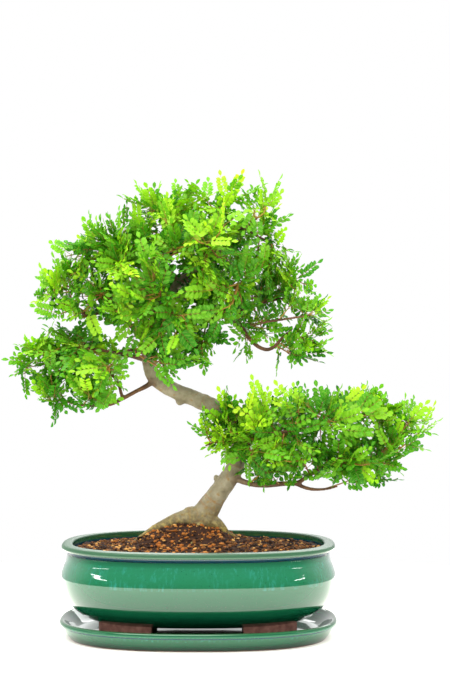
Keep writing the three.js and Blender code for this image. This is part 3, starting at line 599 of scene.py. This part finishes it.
branchLines = [
    [(34, -4, 82, 5.2), (41, -6, 77, 3.6), (55, -9, 71.6, 3.1), (72.7, -12, 70, 3), (92, -14, 71.6, 2.8),
     (106.5, -15, 72.5, 2.6), (121, -20, 82, 2.2), (147, -24, 95, 1.9), (174, -25, 97.5, 1.6),
     (196, -22, 104, 1.4), (213, -18, 104, 1.1)],
    [(104, -15, 72.4, 2.3), (121, -13, 66, 2.1), (137, -10, 65.4, 1.7), (152, -6, 68, 1.2)],
    [(44, -4, 111, 5), (58, 14, 119, 3.2), (82, 32, 127, 2.6), (115, 42, 133, 2.2), (150, 40, 137, 1.7),
     (182, 30, 141, 1.2)],
    [(44, -8, 106, 5), (52, -28, 117, 3), (70, -44, 125, 2.5), (98, -50, 131, 2), (128, -46, 135, 1.3)],
    [(43, -8, 115, 4), (34, -28, 119, 2.4), (20, -40, 119, 1.9), (8, -46, 115, 1.2)],
    [(-46, 1, 186, 4), (-56, -3, 178, 2.8), (-67.6, -8, 172, 2.4), (-82.6, -13, 164, 2.3),
     (-95.3, -16, 158, 2.1),
     (-104.5, -17, 157, 2), (-125, -16, 157, 1.8), (-146, -12, 161.4, 1.4), (-157.5, -10, 163, 1.1)],
    [(-82, -13, 164, 1.9), (-92, -4, 187, 1.8), (-118, 6, 199, 1.6), (-150, 12, 205, 1.4),
     (-178, 14, 201, 1.1)],
    [(-54, -1, 206, 4), (-75, -20, 211, 2.4), (-100, -30, 216, 1.9), (-128, -28, 221, 1.2)],
    [(-52, -1, 227, 4.4), (-70, -10, 241, 3.2), (-99.5, -18, 261, 2.6), (-120, -20, 254, 2.4),
     (-129, -18, 261, 2.2), (-140, -14, 264, 2), (-154.5, -8, 272, 1.7), (-168, -2, 284, 1.2)],
    [(-30, 2, 280, 4.6), (-10, -4, 273, 3.7), (11.5, -8, 266.7, 3.5), (24.4, -10, 256, 3.3),
     (42, -12, 246, 3),
     (50.6, -13, 236, 2.7), (59, -13, 226, 2.5), (69.5, -12, 218.5, 2.3), (78, -11, 218, 2.1),
     (92.5, -5, 231, 1.7), (102, 0, 239, 1.3)],
    [(23.5, -10, 256.5, 2.2), (24.6, -14, 269.5, 1.9), (29, -18, 290.5, 1.2)],
    [(42, -12, 246, 2.2), (47.4, -4, 259.5, 2), (60, 6, 265, 1.8), (80, 14, 271, 1.6), (105, 16, 276, 1.1)],
    [(42, -12, 246, 2.2), (55, -16, 243.7, 1.9), (71.6, -20, 247, 1.7), (98, -22, 251, 1.4),
     (122, -20, 255, 1.1)],
    [(-20, 4, 292, 4), (-40, -4, 307, 2.8), (-70, -12, 319, 2.3), (-100, -16, 325, 1.8),
     (-122, -14, 329, 1.2)],
    [(-52, -2, 229, 4), (-50, -28, 247, 2.8), (-45, -55, 263, 2.1), (-38, -78, 275, 1.3)],
    [(-54, -2, 211, 4), (-62, -30, 215, 2.4), (-70, -55, 217, 1.9), (-74, -74, 217, 1.2)],
    [(-46, 2, 248, 4), (-48, 30, 265, 2.8), (-46, 60, 279, 2.1), (-40, 85, 289, 1.3)],
    [(-54, 2, 214, 4), (-66, 30, 223, 2.4), (-82, 58, 231, 1.3)],
    [(1, 5, 306, 3.6), (4, -22, 317, 2.3), (8, -48, 325, 1.8), (14, -68, 329, 1.2)],
    [(17, 4, 318, 3.4), (24, 30, 329, 2.1), (32, 56, 335, 1.3)],
    [(24.5, 2, 336, 2.8), (40.6, -3, 348, 2), (51.6, -5, 351, 1.8), (66.7, -8, 363, 1.2)],
    [(50, -5, 350.5, 1.6), (66.7, -2, 340, 1.5), (84, 2, 335, 1.1)],
    [(2, 5, 306, 3.2), (-14, 2, 321, 2.2), (-28, 0, 340, 1.8), (-34, -2, 362, 1.2)]]

# healed cuts and knobs that stand out of the trunk, as short stubs
knobLines = [
    [(-18, 3, 166, 6), (-20.5, 1, 159.5, 5.2), (-21.5, 0, 156.6, 2.6)],
    [(6, 1, 162, 5), (7.7, 0, 168.2, 3)],
    [(20, -5, 55, 6), (27, -7, 55.5, 4.4), (29.5, -8, 55.8, 2.2)],
    [(20, -2, 76, 4), (18.4, -3, 80, 2.2)],
    [(-6, -2, 40, 6), (-15, -5, 41, 3.6)],
    [(38, -10, 98, 5), (37, -16, 99, 3)]]


def inPlace(station):
    x, y, height = station[:3]
    return Vector((x * mm, y * mm, soilLine + height * mm))


def limbCurve(name, lines):
    curve = bpy.data.curves.new(name, "CURVE")
    curve.dimensions = "3D"
    curve.bevel_depth = 1
    curve.bevel_resolution = 5
    curve.resolution_u = 10
    curve.use_fill_caps = True
    for line in lines:
        spline = curve.splines.new("BEZIER")
        spline.bezier_points.add(len(line) - 1)
        for point, station in zip(spline.bezier_points, line):
            point.co = inPlace(station)
            point.radius = station[3] * mm
            point.handle_left_type = point.handle_right_type = "AUTO"
    return bpy.data.objects.new(name, curve)


def makeWood(bark):
    limbs = limbCurve("limbs", [trunkLine, surfaceRoot] + rootLines + branchLines + knobLines)
    bpy.context.scene.collection.objects.link(limbs)
    depsgraph = bpy.context.evaluated_depsgraph_get()
    mesh = bpy.data.meshes.new_from_object(limbs.evaluated_get(depsgraph))
    bpy.data.objects.remove(limbs)
    piece = bpy.data.objects.new("trunkAndBranches", mesh)
    bpy.context.scene.collection.objects.link(piece)
    fuse = piece.modifiers.new("fuse", "REMESH")      # the limbs grow into one skin
    fuse.mode = "VOXEL"
    fuse.voxel_size = wood["voxel"] * mm
    applyModifiers(piece)
    mesh = piece.data
    bpy.data.objects.remove(piece)

    # distance along the limb and its girth at each vertex, for rings and for the bark's colour
    lines = [trunkLine, surfaceRoot] + rootLines + branchLines
    samples = []
    for number, line in enumerate(lines):
        run = 0.0
        places = curveThrough(line, 8)
        for i, station in enumerate(places):
            if i:
                run += (inPlace(station) - inPlace(places[i - 1])).length
            samples.append((inPlace(station), run + number * 0.7, station[3] * mm))
    tree = treeOf([sample[0] for sample in samples])

    bm = bmesh.new()
    bm.from_mesh(mesh)
    bmesh.ops.triangulate(bm, faces=[f for f in bm.faces if len(f.verts) > 4])
    for _ in range(wood["smoothing"]):
        bmesh.ops.smooth_vert(bm, verts=bm.verts, factor=0.5, use_axis_x=True, use_axis_y=True,
                              use_axis_z=True)
    along = bm.verts.layers.float.new("along")
    girth = bm.verts.layers.float.new("girth")
    bm.normal_update()
    for v in bm.verts:
        near = min(tree.find_n(v.co, 3), key=lambda hit: hit[2] / samples[hit[1]][2])
        place, run, radius = samples[near[1]]
        v[along] = run
        v[girth] = radius
        share = min(1.0, radius / (9 * mm))
        swell = noise.noise(v.co / (15 * mm)) * 1.0 + noise.noise(v.co / (4 * mm)) * wood["ridge"]
        ring = max(0.0, noise.noise(Vector((run, 0, 0)) / (5 * mm)) - 0.25) * 1.2
        v.co += v.normal * (swell + ring) * share * 0.8 * mm
    bmesh.ops.recalc_face_normals(bm, faces=bm.faces)
    return finishPiece("trunkAndBranches", bm, [bark], ["trunk_and_branches"])


rootlets = {"count": 26, "girth": 5}      # girth is the limb radius whose bark colour they take, mm


def makeRootlets(bark):
    # hair roots that hang from the left root to the soil
    rng = random.Random(7)
    bm = bmesh.new()
    for _ in range(rootlets["count"]):
        x = rng.uniform(-74, -46)
        y = rng.uniform(-17, -6)
        top = 4 + (x + 76) * 0.42 + rng.uniform(-2, 2)
        foot = Vector(((x + rng.uniform(-6, 6)) * mm, (y + rng.uniform(-7, 1)) * mm, 0))
        foot.z = soilTop(foot.x, foot.y) - 1 * mm
        head = inPlace((x, y, top))
        middle = head.lerp(foot, 0.5) + Vector((rng.uniform(-2, 2), rng.uniform(-2, 0), 0)) * mm
        line = curveThrough([tuple(head), tuple(middle), tuple(foot)], 4)
        growTube(bm, [(Vector(p), rng.uniform(0.3, 0.55) * mm) for p in line], 5)
    girth = bm.verts.layers.float.new("girth")
    for v in bm.verts:
        v[girth] = rootlets["girth"] * mm
    bmesh.ops.recalc_face_normals(bm, faces=bm.faces)
    return finishPiece("hangingRootlets", bm, [bark])


# sizes in mm; pairs gives the pairs of leaflets on each kind of leaf, besides the one at its tip
leaf = {"pairs": (2, 3, 3, 4, 4, 4, 5, 5, 3), "shortest": 19, "longest": 31, "leaflet": 7.8,
        "leafletWidth": 5.3, "thickness": 0.22, "stalk": 0.34, "reach": 25}
shoot = {"radius": 1.15, "tipRadius": 0.45, "leaves": 6, "fewestLeaves": 3, "leafyLength": 30, "tries": 14}

# [base on a branch, tip], as (x, y, height over the soil line) in mm
shootLines = {
    "crown": [
        [(-150, -10, 270), (-166, 2, 281)], [(-129, -18, 261), (-150, -26, 256)],
        [(-140, -14, 264), (-140, -8, 298)],
        [(-106, -16, 326), (-114, -6, 338)], [(-88, -15, 322), (-80, -8, 350)],
        [(-33, -2, 356), (-54, -4, 374)],
        [(-32, -2, 354), (-24, 6, 378)], [(25, -1, 362), (6, 2, 384)], [(25, -2, 370), (38, 4, 386)],
        [(64, -8, 361), (74, -6, 374)], [(78, 1, 337), (82, -8, 325)], [(80, 14, 271), (98, 8, 298)],
        [(112, -21, 253), (124, -12, 257)], [(98, -2, 235), (126, -4, 227)], [(84, -9, 222), (102, -16, 211)],
        [(12, -8, 266), (6, -34, 230)], [(-70, -55, 217), (-34, -72, 200)],
        [(-45, -55, 263), (-16, -86, 254)], [(-38, -76, 274), (-46, -94, 296)],
        [(-50, -28, 247), (-86, -64, 258)],
        [(4, -22, 317), (-28, -60, 326)], [(14, -66, 329), (28, -84, 348)], [(29, -18, 288), (46, -50, 288)],
        [(-70, -12, 319), (-84, -52, 308)], [(-99, -18, 261), (-104, -52, 284)],
        [(-46, 60, 279), (-16, 86, 276)], [(-48, 30, 265), (-92, 56, 278)], [(24, 30, 329), (-14, 58, 344)],
        [(60, 6, 265), (58, 46, 280)]],
    "left": [
        [(-150, 12, 205), (-188, 6, 198)], [(-140, 10, 203), (-172, -2, 214)],
        [(-100, -30, 216), (-142, -12, 226)],
        [(-143, -13, 161), (-158, -12, 174)], [(-104, -17, 157), (-116, -40, 168)],
        [(-96, -2, 189), (-108, 34, 196)],
        [(-75, -20, 211), (-98, -60, 198)]],
    "right": [
        [(14, -44, 117), (8, -36, 132)], [(42, -6, 122), (34, -26, 150)], [(70, -44, 125), (70, -36, 156)],
        [(98, -50, 131), (108, -44, 154)], [(126, -46, 135), (140, -34, 150)],
        [(150, 40, 137), (166, 34, 156)],
        [(180, 30, 141), (204, 18, 148)], [(196, -22, 104), (228, -14, 138)],
        [(211, -18, 104), (242, -8, 128)],
        [(174, -25, 97.5), (202, -40, 96)], [(148, -24, 95), (164, -50, 100)],
        [(137, -10, 65.4), (174, -4, 78)],
        [(84, 33, 127), (68, 60, 140)], [(56, -10, 72), (70, -32, 98)], [(54, -30, 118), (64, -68, 110)],
        [(121, -20, 82), (112, -50, 104)]]}

# How many twigs fill each pad of foliage, besides its main shoots
pads = {"crown": 226, "left": 36, "right": 98}
# The room of a pad: its grain, how far round a place to look and how far off a limb's end counts as
# bare, in mm, and how open to the air twig tips and leaf tips may be
roomOf = {"grain": 11, "look": 40, "tip": 0.42, "leaf": 0.65, "bare": 16}


def leafletInto(bm, uvLayer, place, length, width, fold):
    # one leaflet: a grid drawn to an oval, folded along its rib, closed by an underside
    grid = bmesh.ops.create_grid(bm, x_segments=4, y_segments=2, size=0.5)
    verts = grid["verts"]
    faces = list({f for v in verts for f in v.link_faces})
    for face in faces:
        for loop in face.loops:
            loop[uvLayer].uv = (loop.vert.co.x + 0.5, loop.vert.co.y + 0.5)
    under = bmesh.ops.duplicate(bm, geom=verts + faces)["geom"]
    underVerts = [v for v in under if isinstance(v, bmesh.types.BMVert)]
    bmesh.ops.reverse_faces(bm, faces=[f for f in under if isinstance(f, bmesh.types.BMFace)])
    for group, sink in ((verts, 0), (underVerts, leaf["thickness"] * mm)):
        for v in group:
            along, across = v.co.x + 0.5, v.co.y * 2
            half = width / 2 * math.sin(math.pi * along ** 1.2) ** 0.72 if 0 < along < 1 else 0
            rib = 1 - abs(across)
            v.co = Vector((along * length, across * half, fold * abs(across) * half
                           - 0.1 * length * along * along - sink * rib))
    everything = verts + underVerts
    bmesh.ops.transform(bm, matrix=place, verts=everything)
    bmesh.ops.remove_doubles(bm, verts=everything, dist=1e-5)


def makeLeafKinds():
    # a few whole leaves to grow everywhere, each of 2 to 5 pairs of leaflets and one at the end; their
    # faces take the blade as the first material and the stalk as the second
    rng = random.Random(12)
    kinds = []
    for number, pairs in enumerate(leaf["pairs"]):
        length = (leaf["shortest"] + (leaf["longest"] - leaf["shortest"]) * (pairs - 2) / 3
                  + rng.uniform(-1, 1)) * mm
        droop = rng.uniform(0.06, 0.2)
        sway = rng.uniform(-0.08, 0.08)

        def onStalk(share):
            return Vector((share * length, sway * length * share * share, -droop * length * share * share))

        bm = bmesh.new()
        uvLayer = bm.loops.layers.uv.new("blade")
        places = [0.3 + 0.6 * i / (pairs - 0.4) for i in range(pairs)]
        for share in places:
            size = leaf["leaflet"] * (0.8 + 0.3 * math.sin(math.pi * share)) * rng.uniform(0.92, 1.06) * mm
            for side in (-1, 1):
                turn = side * (1.18 - 0.35 * share + rng.uniform(-0.12, 0.12))
                place = (Matrix.Translation(onStalk(share + side * 0.008)) @ Matrix.Rotation(turn, 4, "Z")
                         @ Matrix.Rotation(rng.uniform(-0.25, 0.25), 4, "X")
                         @ Matrix.Rotation(rng.uniform(-0.2, 0.25), 4, "Y"))
                width = size * leaf["leafletWidth"] / leaf["leaflet"]
                leafletInto(bm, uvLayer, place, size, width, rng.uniform(0.15, 0.4))
        size = leaf["leaflet"] * 1.05 * mm
        place = Matrix.Translation(onStalk(0.985)) @ Matrix.Rotation(rng.uniform(-0.1, 0.1), 4, "Z")
        leafletInto(bm, uvLayer, place, size, size * 0.56, 0.25)
        growTube(bm, [(onStalk(s / 4 * 0.99), (leaf["stalk"] - 0.04 * s) * mm) for s in range(5)], 3, 1)
        for face in bm.faces:
            face.smooth = True
        for edge in bm.edges:
            if edge.is_manifold and edge.calc_face_angle() > 2:
                edge.smooth = False
        bmesh.ops.recalc_face_normals(bm, faces=bm.faces)
        mesh = bpy.data.meshes.new(f"leafKind{number}")
        bm.to_mesh(mesh)
        bm.free()
        mesh.attributes.new("tone", "FLOAT", "POINT")
        kinds.append(mesh)
    return kinds


def treeOf(places):
    tree = kdtree.KDTree(len(places))
    for i, place in enumerate(places):
        tree.insert(place, i)
    tree.balance()
    return tree


def padRoom(name):
    # the room that a pad of foliage takes: everywhere between the leaves of the model's sprays
    nodes = [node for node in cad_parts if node.startswith(f"{name}_spray_")]
    grains = {}
    for node in nodes:
        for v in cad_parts[node].data.vertices:
            grains[tuple(round(c / (roomOf["grain"] * mm)) for c in v.co)] = v.co.copy()
    boxes = [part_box(node) for node in nodes]
    low = Vector([min(box[0][axis] for box in boxes) for axis in range(3)])
    high = Vector([max(box[1][axis] for box in boxes) for axis in range(3)])
    leaves = treeOf([v.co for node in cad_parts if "_spray_" in node
                     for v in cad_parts[node].data.vertices])
    places = list(grains.values())
    for line in branchLines:
        end = inPlace(line[-1])
        within = all(low[axis] < end[axis] < high[axis] for axis in range(3))
        if within and leaves.find(end)[2] > roomOf["bare"] * mm:      # no limb ends bare inside a pad
            places += [end + Vector((x, y, z)) * roomOf["bare"] * mm
                       for x in (-1, 0, 1) for y in (-1, 0, 1) for z in (-1, 0, 1)]
    return {"room": treeOf(places), "low": low, "high": high, "middle": (low + high) / 2}


def openness(pad, place):
    # 0 deep among the leaves, 0.5 at the pad's face, 1 outside: how one-sidedly they lie round it
    around = pad["room"].find_range(place, roomOf["look"] * mm)
    if len(around) < 6:
        return 1.0
    return sum(((spot - place).normalized() for spot, index, gap in around), Vector()).length / len(around)


def edgeOf(pad, place):
    # 0 in the middle of a pad, 1 at its outside
    half = (pad["high"] - pad["low"]) / 2
    apart = place - pad["middle"]
    return min(1.0, math.sqrt(sum((apart[axis] / half[axis]) ** 2 for axis in range(3))))


def pickTips(pad, count, rng):
    # twig tips that keep apart from each other and fill the pad
    tips = []
    while len(tips) < count:
        best, bestGap = None, -1
        for _ in range(shoot["tries"]):
            place = Vector([rng.uniform(pad["low"][axis], pad["high"][axis]) for axis in range(3)])
            if openness(pad, place) > roomOf["tip"]:
                continue
            gap = min([(place - other).length for other in tips], default=1)
            if gap > bestGap:
                best, bestGap = place, gap
        if best:
            tips.append(best)
    return tips


def leafPlaces(start, end, pad, outward, rng, count, length):
    # leaves spiral round a twig, spreading at its foot and closing up to one at its tip; a leaf
    # that would leave its pad is turned back into it
    along = (end - start).normalized()
    across = along.cross(upward if abs(along.z) < 0.95 else Vector((1, 0, 0))).normalized()
    over = across.cross(along)
    turn = rng.uniform(0, 6.28)
    first = max(0.0, 1 - shoot["leafyLength"] * mm / (end - start).length)      # only the end is in leaf
    for i in range(count):
        share = first + (1 - first) * i / (count - 1)
        base = start.lerp(end, share)
        spin = turn + i * 2.4
        spreadOut = 1.3 - 0.95 * i / (count - 1)
        direction = (along * math.cos(spreadOut) + (across * math.cos(spin) + over * math.sin(spin))
                     * math.sin(spreadOut) + upward * 0.28 + outward * 0.2).normalized()
        for attempt in range(4):
            if openness(pad, base + direction * length) < roomOf["leaf"]:
                break
            direction = (direction + (pad["middle"] - base).normalized() * 0.5).normalized()
        else:
            continue
        face = upward * 0.4 + outward * 0.8 + Vector([rng.uniform(-0.6, 0.6) for _ in range(3)])
        face = (face - direction * face.dot(direction)).normalized()
        matrix = Matrix((direction, face.cross(direction), face)).transposed().to_4x4()
        yield Matrix.Translation(base) @ matrix, share


def growSpray(name, node, twigs, pad, kinds, materials, rng):
    halfHeight = (pad["high"].z - pad["low"].z) / 2
    bm = bmesh.new()
    tone = bm.verts.layers.float.new("tone")
    for start, end, radius in twigs:
        bend = start.lerp(end, 0.55) + (Vector([rng.uniform(-1, 1) for _ in range(3)]) * 0.1
                                        - upward * 0.07) * (end - start).length
        outward = (end - pad["middle"]).normalized()
        leaves = list(leafPlaces(start, end, pad, outward, rng, shoot["leaves"], leaf["reach"] * mm))
        if len(leaves) < shoot["fewestLeaves"]:
            continue
        line = curveThrough([tuple(start), tuple(bend), tuple(end)], 3)
        stems = growTube(bm, [(Vector(p), (radius + (shoot["tipRadius"] - radius) * i / (len(line) - 1)) * mm)
                              for i, p in enumerate(line)], 5, 1)
        young = rng.uniform(-0.17, 0.17)
        edge = edgeOf(pad, end)
        for v in stems:
            v[tone] = 0.3 + young + edge * 0.2
        for matrix, share in leaves:
            grown = rng.choice(kinds).copy()
            grown.transform(matrix @ Matrix.Scale(rng.uniform(0.8, 1.05), 4))
            # leaves high in a pad and at its outside turn lighter, low and inner ones darker: painted light
            # and painted shade, mixed with the younger growth at the outside and at twig tips
            rise = (matrix.translation.z - pad["middle"].z) / halfHeight
            value = 0.24 + 0.16 * rise + 0.24 * edge + 0.12 * share + young + rng.uniform(-0.18, 0.18)
            value = min(1.0, max(0.02, value))
            grown.attributes["tone"].data.foreach_set("value", [value] * len(grown.vertices))
            bm.from_mesh(grown)
            bpy.data.meshes.remove(grown)
    return finishPiece(name, bm, materials, [node])


def makeFoliage(kinds, materials):
    for name, twigCount in pads.items():
        rng = random.Random(name)
        pad = padRoom(name)
        shoots = [(inPlace(start), inPlace(end)) for start, end in shootLines[name]]
        # places a twig can spring from: the thinner limbs and the main shoots
        wooden = [inPlace(station) for line in branchLines + [trunkLine[wood["twigsFrom"]:]]
                  for station in curveThrough(line, 5)]
        for start, end in shoots:
            wooden += [start.lerp(end, i / 6) for i in range(7)]
        holds = treeOf(wooden)
        groups = [[(start, end, shoot["radius"])] for start, end in shoots]
        for tip in pickTips(pad, twigCount, rng):
            near = holds.find_n(tip + (pad["middle"] - tip).normalized() * 12 * mm, 5)
            start = rng.choice(near[:3])[0]
            if (tip - start).length < 8 * mm:
                start = near[-1][0]
            if (tip - start).length < 4 * mm:
                continue
            home = min(range(len(shoots)), key=lambda k: ((shoots[k][0] + shoots[k][1]) / 2 - tip).length)
            groups[home].append((start, tip, 0.6 + min(0.6, (tip - start).length / mm * 0.012)))
        for i, twigs in enumerate(groups):
            growSpray(f"{name}Spray_{i + 1:02d}", f"{name}_spray_{i + 1:02d}", twigs, pad, kinds, materials,
                      rng)
        print(name, "pad in leaf")


camera = {"x": 29, "away": 1850, "height": 325, "lens": 90.1}
room = {"floorRadius": 650, "tent": 2.8, "mirror": 1.1, "dim": 0.3, "dimFrom": -0.3, "brightFrom": 0.35}
# lamps as (name, place and size in metres, watts)
lamps = [("topSoftbox", (-0.3, -0.5, 1.5), (1.2, 0.9), 22),
         ("leftStrip", (-2.0, -0.75, 1.0), (0.9, 0.06), 3.5),
         ("rightStrip", (2.1, -0.7, 0.95), (0.6, 0.05), 2.5),
         ("backSoftbox", (0.2, 1.3, 1.0), (1.2, 0.8), 14)]


def makeCamera():
    data = bpy.data.cameras.new("camera")
    data.lens = camera["lens"]
    data.sensor_width = 36
    data.clip_end = 20
    eye = bpy.data.objects.new("camera", data)
    eye.location = (camera["x"] * mm, -camera["away"] * mm, camera["height"] * mm)
    eye.rotation_euler = (math.radians(90), 0, 0)
    bpy.context.scene.collection.objects.link(eye)
    bpy.context.scene.camera = eye


def makeRoom():
    bm = bmesh.new()
    bmesh.ops.create_circle(bm, cap_ends=True, segments=96, radius=room["floorRadius"] * mm)
    mesh = bpy.data.meshes.new("floor")
    bm.to_mesh(mesh)
    bm.free()
    paper = newMaterial("floorPaper", {"Base Color": fromHex("#fbf9f0"), "Roughness": 0.9})[0]
    mesh.materials.append(paper)
    floor = bpy.data.objects.new("floor", mesh)
    bpy.context.scene.collection.objects.link(floor)

    world = bpy.data.worlds.new("studio")
    bpy.context.scene.world = world
    world.use_nodes = True
    tree = world.node_tree
    tree.nodes.clear()
    rays = addNode(tree, "LightPath")
    backdrop = addNode(tree, "Background", {"Color": (1, 1, 1, 1), "Strength": 1.0})
    # shiny things see the white tent behind them, and a dim room on the side they are looked at from
    way = addNode(tree, "SeparateXYZ", links={"Vector": addNode(tree, "TexCoord").outputs["Generated"]})
    behind = addNode(tree, "MapRange", {"From Min": room["dimFrom"], "From Max": room["brightFrom"]},
                     {"Value": way.outputs["Y"]})
    dim = addNode(tree, "Background", {"Color": fromHex("#cfd4d2"), "Strength": room["dim"]})
    tent = addNode(tree, "Background", {"Color": (1, 1, 1, 1), "Strength": room["tent"]})
    bright = addNode(tree, "Background", {"Color": (1, 1, 1, 1), "Strength": room["mirror"]})
    mirror = addNode(tree, "MixShader", links={0: behind, 1: dim, 2: bright})
    glossy = addNode(tree, "MixShader", links={0: rays.outputs["Is Glossy Ray"], 1: tent, 2: mirror})
    seen = addNode(tree, "MixShader", links={0: rays.outputs["Is Camera Ray"], 1: glossy, 2: backdrop})
    addNode(tree, "OutputWorld", links={"Surface": seen})

    for name, place, size, power in lamps:
        data = bpy.data.lights.new(name, "AREA")
        data.shape = "RECTANGLE"
        data.size, data.size_y = size
        data.energy = power
        lamp = bpy.data.objects.new(name, data)
        lamp.location = place
        lamp.rotation_euler = (Vector((0, 0, 0.25)) - Vector(place)).to_track_quat("-Z", "Y").to_euler()
        bpy.context.scene.collection.objects.link(lamp)
    bpy.context.scene.view_settings.view_transform = "Standard"


makeCamera()
makeRoom()
print("studio ready")

trayGlaze = copperGlaze("copperGlazeTray", trayLow[2], trayHigh[2], (trayHigh[2] - 6 * mm, 0.5 * mm), 0.1)
grooveMiddle = potHigh[2] - (pot["lipRise"] + pot["lipFace"] + pot["grooveHeight"] / 2) * mm
potGroove = (grooveMiddle, pot["grooveHeight"] / 2 * mm)
potGlaze = copperGlaze("copperGlazePot", potLow[2] + 12 * mm, potHigh[2], potGroove, 0.65)
rimGlaze = copperGlaze("copperGlazeRim", potLow[2] + 12 * mm, potHigh[2] + 2 * mm, potGroove, 0.0, 0.42)
clay = unglazedStoneware()
makeTray(trayGlaze, clay)
potShell, potUnder = makePot(potGlaze, clay, rimGlaze)
makeFeet(clay, potUnder)
print("pot and tray fired")

makeSoil(pottingMix("pottingMix", 3 * mm))
makeGrains(pottingMix("pottingGrains", 2 * mm))
print("soil filled")

bark = pepperBark()
makeWood(bark)
makeRootlets(bark)
print("wood grown")

leafMaterials = [leafBlade(), shootSkin()]
makeFoliage(makeLeafKinds(), leafMaterials)
print("leaves out")

screenPlastic = plainFinish("polyethyleneMesh", "#1d1f1e", "#0f1110", 0.6)
aluminiumWire = plainFinish("aluminiumWire", "#c4c7c8", "#8a8d8f", 0.35, 1.0)
for hand in ("left", "right"):
    for node, material in ((f"drain_screen_{hand}", screenPlastic),
                           (f"screen_clip_{hand}", aluminiumWire)):
        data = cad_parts[node].data
        data.materials.clear()
        data.materials.append(material)
